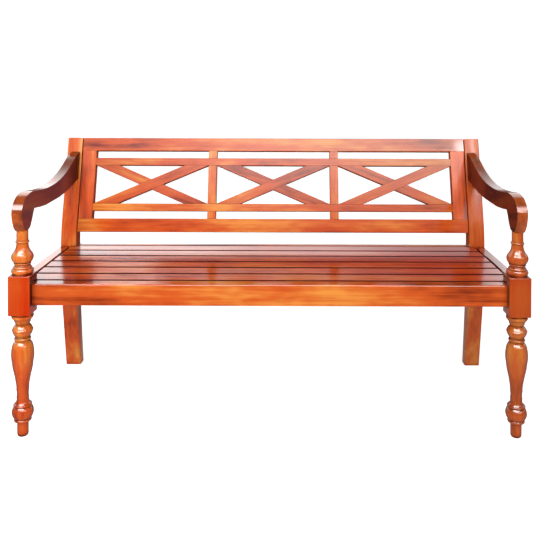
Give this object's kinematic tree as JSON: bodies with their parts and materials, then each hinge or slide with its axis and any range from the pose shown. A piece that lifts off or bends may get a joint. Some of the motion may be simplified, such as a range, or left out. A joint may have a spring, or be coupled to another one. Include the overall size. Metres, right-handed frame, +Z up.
{
  "type": "bench",
  "caption": "Slatted hardwood bench with turned front legs, bent rear posts, S-shaped arms and an open back of slim rails and crossed diagonals.",
  "frame": {"origin": "on the floor, under the middle of the bench", "axes": "+X to the viewer's right as seen from the front, +Y to the back, +Z up"},
  "size_m": [1.501, 0.616, 0.8221],
  "materials": {
    "frame_wood": "gloss lacquer",
    "slat_wood": "gloss lacquer",
    "inner_wood": "satin lacquer"
  },
  "bodies": {
    "root": {"front_leg_left": "frame_wood", "front_leg_right": "frame_wood", "rear_post_left": "frame_wood", "rear_post_right": "frame_wood", "arm_left": "frame_wood", "arm_right": "frame_wood", "front_seat_rail": "frame_wood", "rear_seat_rail": "frame_wood", "side_seat_rail_left": "frame_wood", "side_seat_rail_right": "frame_wood", "seat_bearer_1": "inner_wood", "seat_bearer_2": "inner_wood", "seat_bearer_3": "inner_wood", "slat_cleat_left": "inner_wood", "slat_cleat_right": "inner_wood", "seat_slat_1": "slat_wood", "seat_slat_2": "slat_wood", "seat_slat_3": "slat_wood", "seat_slat_4": "slat_wood", "seat_slat_5": "slat_wood", "seat_slat_6": "slat_wood", "back_top_rail": "frame_wood", "back_bottom_rail": "frame_wood", "back_stile_left": "frame_wood", "back_stile_right": "frame_wood", "back_mullion_left": "frame_wood", "back_mullion_right": "frame_wood", "back_upper_inner_rail": "frame_wood", "back_lower_inner_rail": "frame_wood", "back_brace_left_rising": "frame_wood", "back_brace_left_falling": "frame_wood", "back_brace_middle_rising": "frame_wood", "back_brace_middle_falling": "frame_wood", "back_brace_right_rising": "frame_wood", "back_brace_right_falling": "frame_wood", "back_dowels": "inner_wood"}
  },
  "joints": []
}
